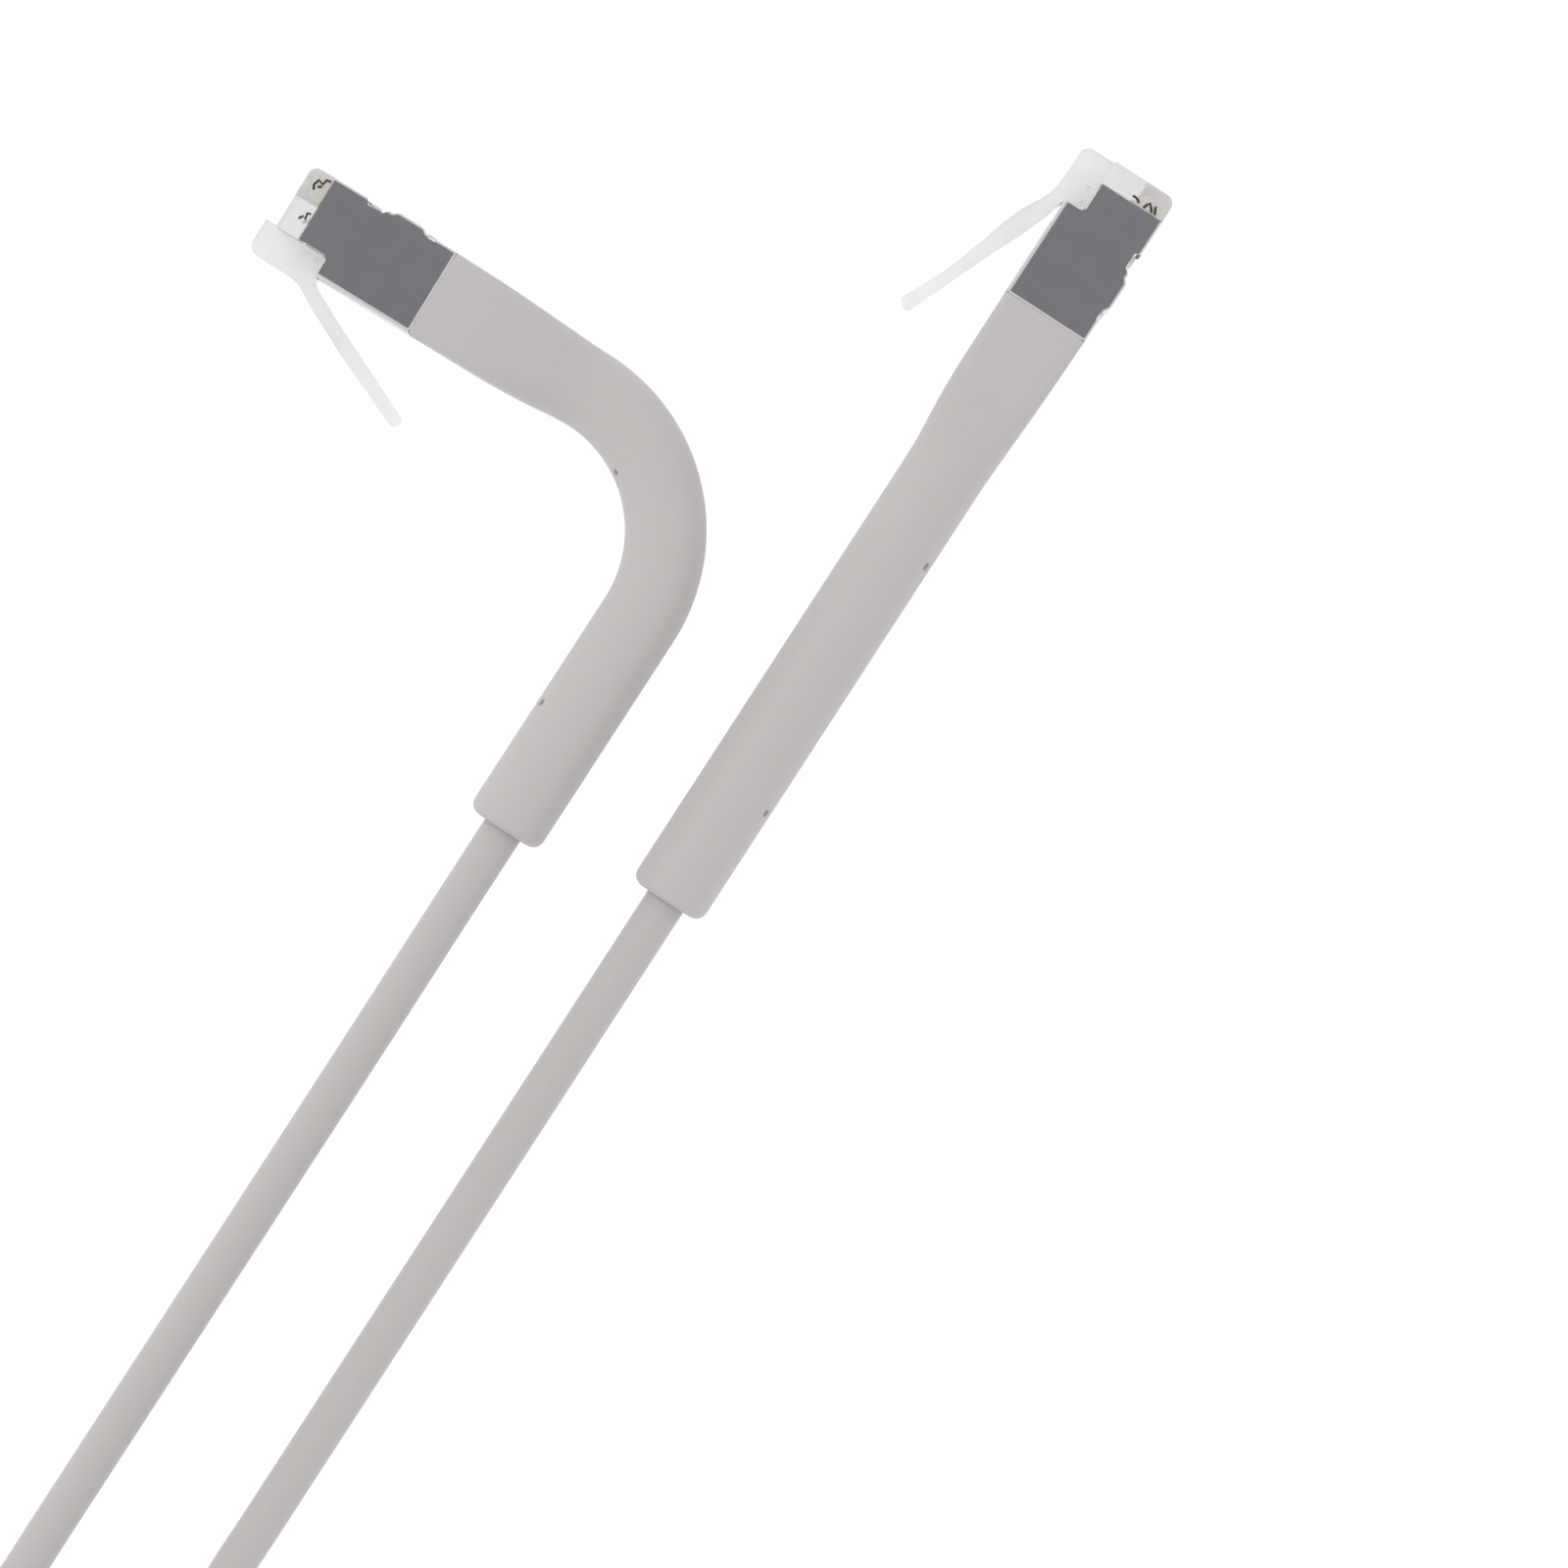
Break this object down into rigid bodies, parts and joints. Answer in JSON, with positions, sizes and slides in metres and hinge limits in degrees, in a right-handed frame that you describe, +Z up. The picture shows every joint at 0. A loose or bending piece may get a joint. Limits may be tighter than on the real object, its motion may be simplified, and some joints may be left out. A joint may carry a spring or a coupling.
{
  "type": "ethernet patch cable",
  "caption": "Shielded network patch cable: a modular plug with a latch on each end, each behind a long boot that bends to the side, and a tied coil of cord between.",
  "frame": {"origin": "on the table, under the middle of the near plug and its boot", "axes": "+X along the near plug towards its nose, +Y towards the near plug's latch, +Z up across the plug's width"},
  "size_m": [0.2327, 0.0845, 0.0122],
  "materials": {
    "bar_plastic": "natural moulded plastic",
    "boot_plastic": "warm light grey, satin",
    "clear_plastic": "clear moulded polycarbonate",
    "gold": "gold plated",
    "jacket": "warm light grey, satin",
    "shield_metal": "dull nickel-plated sheet",
    "tie_fabric": "woven hook and loop strap",
    "wire_blue": "wire insulation",
    "wire_brown": "wire insulation",
    "wire_green": "wire insulation",
    "wire_orange": "wire insulation",
    "wire_white_blue": "wire insulation",
    "wire_white_brown": "wire insulation",
    "wire_white_green": "wire insulation",
    "wire_white_orange": "wire insulation"
  },
  "bodies": {
    "cable": {"near_boot_sleeve": "boot_plastic", "far_boot_sleeve": "boot_plastic", "cord_lead": "jacket", "cord_coil": "jacket", "cord_tail": "jacket", "coil_tie": "tie_fabric"},
    "near_link_1": {"near_boot_link_1": "boot_plastic"},
    "near_link_2": {"near_boot_link_2": "boot_plastic"},
    "near_link_3": {"near_boot_link_3": "boot_plastic"},
    "near_link_4": {"near_boot_link_4": "boot_plastic"},
    "near_link_5": {"near_boot_link_5": "boot_plastic"},
    "near_plug": {"near_plug_housing": "clear_plastic", "near_shield_can": "shield_metal", "near_load_bar": "bar_plastic", "near_cord_stub": "jacket", "near_boot_collar": "boot_plastic", "near_contact_1": "gold", "near_contact_2": "gold", "near_contact_3": "gold", "near_contact_4": "gold", "near_contact_5": "gold", "near_contact_6": "gold", "near_contact_7": "gold", "near_contact_8": "gold", "near_wire_1": "wire_white_orange", "near_wire_2": "wire_orange", "near_wire_3": "wire_white_green", "near_wire_4": "wire_blue", "near_wire_5": "wire_white_blue", "near_wire_6": "wire_green", "near_wire_7": "wire_white_brown", "near_wire_8": "wire_brown"},
    "near_latch": {"near_latch_lever": "clear_plastic"},
    "far_link_1": {"far_boot_link_1": "boot_plastic"},
    "far_link_2": {"far_boot_link_2": "boot_plastic"},
    "far_link_3": {"far_boot_link_3": "boot_plastic"},
    "far_link_4": {"far_boot_link_4": "boot_plastic"},
    "far_link_5": {"far_boot_link_5": "boot_plastic"},
    "far_plug": {"far_plug_housing": "clear_plastic", "far_shield_can": "shield_metal", "far_load_bar": "bar_plastic", "far_cord_stub": "jacket", "far_boot_collar": "boot_plastic", "far_contact_1": "gold", "far_contact_2": "gold", "far_contact_3": "gold", "far_contact_4": "gold", "far_contact_5": "gold", "far_contact_6": "gold", "far_contact_7": "gold", "far_contact_8": "gold", "far_wire_1": "wire_white_orange", "far_wire_2": "wire_orange", "far_wire_3": "wire_white_green", "far_wire_4": "wire_blue", "far_wire_5": "wire_white_blue", "far_wire_6": "wire_green", "far_wire_7": "wire_white_brown", "far_wire_8": "wire_brown"},
    "far_latch": {"far_latch_lever": "clear_plastic"}
  },
  "joints": [
    {"name": "near_bend_1", "type": "hinge", "parent": "cable", "child": "near_link_1", "pos_m": [-0.0143, -0.00375, 0.0061], "axis": [0, 0, 1], "range_deg": [-15.25, 0]},
    {"name": "near_bend_2", "type": "hinge", "parent": "near_link_1", "child": "near_link_2", "pos_m": [-0.0103, -0.00375, 0.0061], "axis": [0, 0, 1], "range_deg": [-15.25, 0]},
    {"name": "near_bend_3", "type": "hinge", "parent": "near_link_2", "child": "near_link_3", "pos_m": [-0.0063, -0.00375, 0.0061], "axis": [0, 0, 1], "range_deg": [-15.25, 0]},
    {"name": "near_bend_4", "type": "hinge", "parent": "near_link_3", "child": "near_link_4", "pos_m": [-0.0023, -0.00375, 0.0061], "axis": [0, 0, 1], "range_deg": [-15.25, 0]},
    {"name": "near_bend_5", "type": "hinge", "parent": "near_link_4", "child": "near_link_5", "pos_m": [0.0017, -0.00375, 0.0061], "axis": [0, 0, 1], "range_deg": [-15.25, 0]},
    {"name": "near_bend_6", "type": "hinge", "parent": "near_link_5", "child": "near_plug", "pos_m": [0.0057, -0.00375, 0.0061], "axis": [0, 0, 1], "range_deg": [-15.25, 0]},
    {"name": "near_latch_press", "type": "hinge", "parent": "near_plug", "child": "near_latch", "pos_m": [0.0339, 0.00101, 0.0061], "axis": [0, 0, 1], "range_deg": [0, 13], "stiffness_Nm_per_rad": 0.3},
    {"name": "far_bend_1", "type": "hinge", "parent": "cable", "child": "far_link_1", "pos_m": [-0.0169, 0.0121, 0.0061], "axis": [0, 0, 1], "range_deg": [-15.15, 0]},
    {"name": "far_bend_2", "type": "hinge", "parent": "far_link_1", "child": "far_link_2", "pos_m": [-0.01304, 0.01316, 0.0061], "axis": [0, 0, 1], "range_deg": [-15.15, 0]},
    {"name": "far_bend_3", "type": "hinge", "parent": "far_link_2", "child": "far_link_3", "pos_m": [-0.00959, 0.01519, 0.0061], "axis": [0, 0, 1], "range_deg": [-15.15, 0]},
    {"name": "far_bend_4", "type": "hinge", "parent": "far_link_3", "child": "far_link_4", "pos_m": [-0.0068, 0.01805, 0.0061], "axis": [0, 0, 1], "range_deg": [-15.15, 0]},
    {"name": "far_bend_5", "type": "hinge", "parent": "far_link_4", "child": "far_link_5", "pos_m": [-0.00486, 0.02155, 0.0061], "axis": [0, 0, 1], "range_deg": [-15.15, 0]},
    {"name": "far_bend_6", "type": "hinge", "parent": "far_link_5", "child": "far_plug", "pos_m": [-0.00391, 0.02544, 0.0061], "axis": [0, 0, 1], "range_deg": [-15.15, 0]},
    {"name": "far_latch_press", "type": "hinge", "parent": "far_plug", "child": "far_latch", "pos_m": [-0.0094, 0.0535, 0.0061], "axis": [0, 0, 1], "range_deg": [0, 20], "stiffness_Nm_per_rad": 0.3}
  ],
  "couplings": [
    {"joint": "near_bend_2", "follows": "near_bend_1", "ratio": 1},
    {"joint": "near_bend_3", "follows": "near_bend_1", "ratio": 1},
    {"joint": "near_bend_4", "follows": "near_bend_1", "ratio": 1},
    {"joint": "near_bend_5", "follows": "near_bend_1", "ratio": 1},
    {"joint": "near_bend_6", "follows": "near_bend_1", "ratio": 1},
    {"joint": "far_bend_2", "follows": "far_bend_1", "ratio": 1},
    {"joint": "far_bend_3", "follows": "far_bend_1", "ratio": 1},
    {"joint": "far_bend_4", "follows": "far_bend_1", "ratio": 1},
    {"joint": "far_bend_5", "follows": "far_bend_1", "ratio": 1},
    {"joint": "far_bend_6", "follows": "far_bend_1", "ratio": 1}
  ]
}
